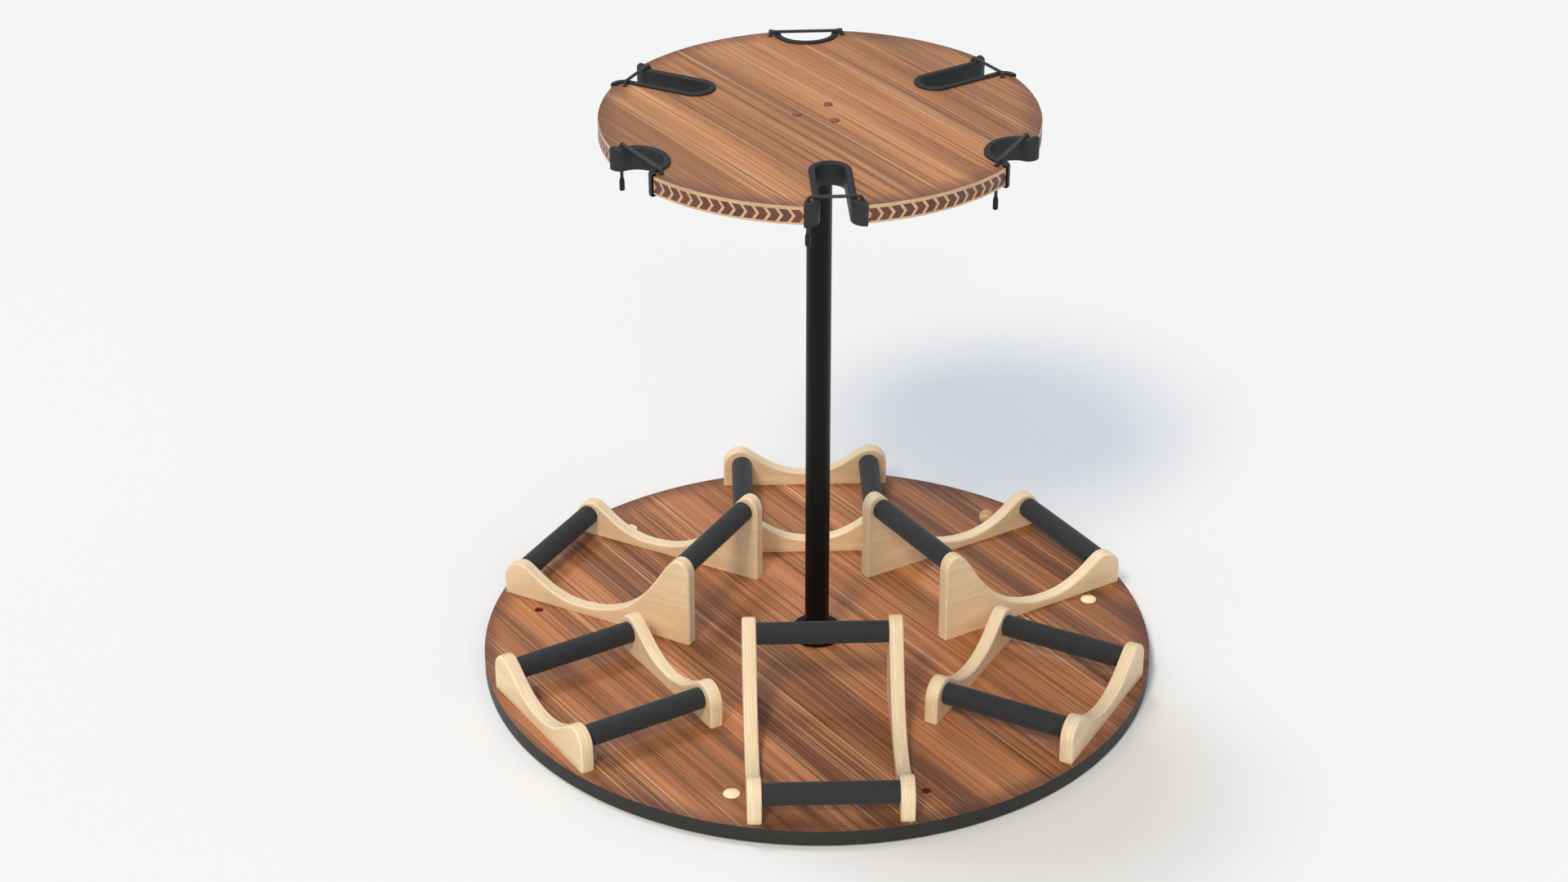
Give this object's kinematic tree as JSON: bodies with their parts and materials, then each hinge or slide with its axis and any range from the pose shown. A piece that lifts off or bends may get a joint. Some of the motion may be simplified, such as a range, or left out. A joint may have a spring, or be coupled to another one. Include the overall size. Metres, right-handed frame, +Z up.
{
  "type": "rotating instrument stand",
  "caption": "Round turning floor stand: a deck with padded cradles on a ball bearing, a pole, and a slotted top disc with cord straps that holds instruments by the neck.",
  "frame": {"origin": "centre of the ground plate's underside, on the floor and on the turning axis", "axes": "+Z up along the pole; -Y towards place 1, the tall cradle at the front"},
  "size_m": [0.9136, 0.9136, 0.8104],
  "materials": {
    "ground_board": "black-stained board, matt",
    "bearing_steel": "plain bearing steel",
    "deck_wood": "red-brown straight-grained veneer, satin lacquer",
    "edge_band": "black edge band, satin",
    "pale_wood": "pale turned wood, satin",
    "knob_wood": "plain turned wood, oiled",
    "black_steel": "satin black powder coat",
    "top_wood": "orange-brown straight-grained veneer with dark burst rim, satin lacquer",
    "cap_red": "red-brown cover caps, satin",
    "liner_rubber": "soft black rubber, matt",
    "strap_cord": "black elastic cord",
    "toggle_rubber": "black moulded rubber",
    "birch_ply": "clear-lacquered birch ply, laminations on the edges",
    "bar_foam": "closed-cell black foam sleeve, matt"
  },
  "bodies": {
    "base": {"ground_plate": "ground_board", "bearing_inner_ring": "bearing_steel"},
    "ball_race": {"bearing_ball_race": "bearing_steel"},
    "turntable": {"bearing_outer_ring": "bearing_steel", "base_deck": "deck_wood", "base_edge_band": "edge_band", "deck_plug_1": "pale_wood", "deck_plug_3": "pale_wood", "deck_plug_5": "pale_wood", "pole_collar": "black_steel", "pole_tube": "black_steel", "top_flange": "black_steel", "top_disc": "top_wood", "screw_cap_1": "cap_red", "screw_cap_2": "cap_red", "screw_cap_3": "cap_red", "slot_liner_1": "liner_rubber", "strap_cord_1": "strap_cord", "slot_liner_2": "liner_rubber", "strap_cord_2": "strap_cord", "slot_liner_3": "liner_rubber", "strap_cord_3": "strap_cord", "slot_liner_4": "liner_rubber", "strap_cord_4": "strap_cord", "slot_liner_5": "liner_rubber", "strap_cord_5": "strap_cord", "slot_liner_6": "liner_rubber", "strap_cord_6": "strap_cord", "tall_cradle_1_side_left": "birch_ply", "tall_cradle_1_side_right": "birch_ply", "tall_cradle_1_bar_inner": "bar_foam", "tall_cradle_1_bar_outer": "bar_foam", "tall_cradle_3_side_left": "birch_ply", "tall_cradle_3_side_right": "birch_ply", "tall_cradle_3_bar_inner": "bar_foam", "tall_cradle_3_bar_outer": "bar_foam", "tall_cradle_5_side_left": "birch_ply", "tall_cradle_5_side_right": "birch_ply", "tall_cradle_5_bar_inner": "bar_foam", "tall_cradle_5_bar_outer": "bar_foam", "low_cradle_2_side_inner": "birch_ply", "low_cradle_2_side_outer": "birch_ply", "low_cradle_2_bar_left": "bar_foam", "low_cradle_2_bar_right": "bar_foam", "low_cradle_4_side_inner": "birch_ply", "low_cradle_4_side_outer": "birch_ply", "low_cradle_4_bar_left": "bar_foam", "low_cradle_4_bar_right": "bar_foam", "low_cradle_6_side_inner": "birch_ply", "low_cradle_6_side_outer": "birch_ply", "low_cradle_6_bar_left": "bar_foam", "low_cradle_6_bar_right": "bar_foam"},
    "toggle_1": {"strap_toggle_1": "toggle_rubber"},
    "toggle_2": {"strap_toggle_2": "toggle_rubber"},
    "toggle_3": {"strap_toggle_3": "toggle_rubber"},
    "toggle_4": {"strap_toggle_4": "toggle_rubber"},
    "toggle_5": {"strap_toggle_5": "toggle_rubber"},
    "toggle_6": {"strap_toggle_6": "toggle_rubber"},
    "knob": {"turn_knob": "knob_wood"}
  },
  "joints": [
    {"name": "turntable_spin", "type": "hinge", "parent": "base", "child": "turntable", "pos_m": [0, 0, 0.01], "axis": [0, 0, 1], "continuous": true},
    {"name": "ball_race_spin", "type": "hinge", "parent": "base", "child": "ball_race", "pos_m": [0, 0, 0.01], "axis": [0, 0, 1], "continuous": true},
    {"name": "toggle_1_lift", "type": "slide", "parent": "turntable", "child": "toggle_1", "axis": [0, 0, 1], "range_m": [0, 0.06], "deforming": ["strap_cord_1"]},
    {"name": "toggle_2_lift", "type": "slide", "parent": "turntable", "child": "toggle_2", "axis": [0, 0, 1], "range_m": [0, 0.06], "deforming": ["strap_cord_2"]},
    {"name": "toggle_3_lift", "type": "slide", "parent": "turntable", "child": "toggle_3", "axis": [0, 0, 1], "range_m": [0, 0.06], "deforming": ["strap_cord_3"]},
    {"name": "toggle_4_lift", "type": "slide", "parent": "turntable", "child": "toggle_4", "axis": [0, 0, 1], "range_m": [0, 0.06], "deforming": ["strap_cord_4"]},
    {"name": "toggle_5_lift", "type": "slide", "parent": "turntable", "child": "toggle_5", "axis": [0, 0, 1], "range_m": [0, 0.06], "deforming": ["strap_cord_5"]},
    {"name": "toggle_6_lift", "type": "slide", "parent": "turntable", "child": "toggle_6", "axis": [0, 0, 1], "range_m": [0, 0.06], "deforming": ["strap_cord_6"]},
    {"name": "knob_lift", "type": "slide", "parent": "turntable", "child": "knob", "axis": [0, 0, 1], "range_m": [0, 0.012]}
  ],
  "couplings": [
    {"joint": "ball_race_spin", "follows": "turntable_spin", "ratio": 0.5}
  ]
}
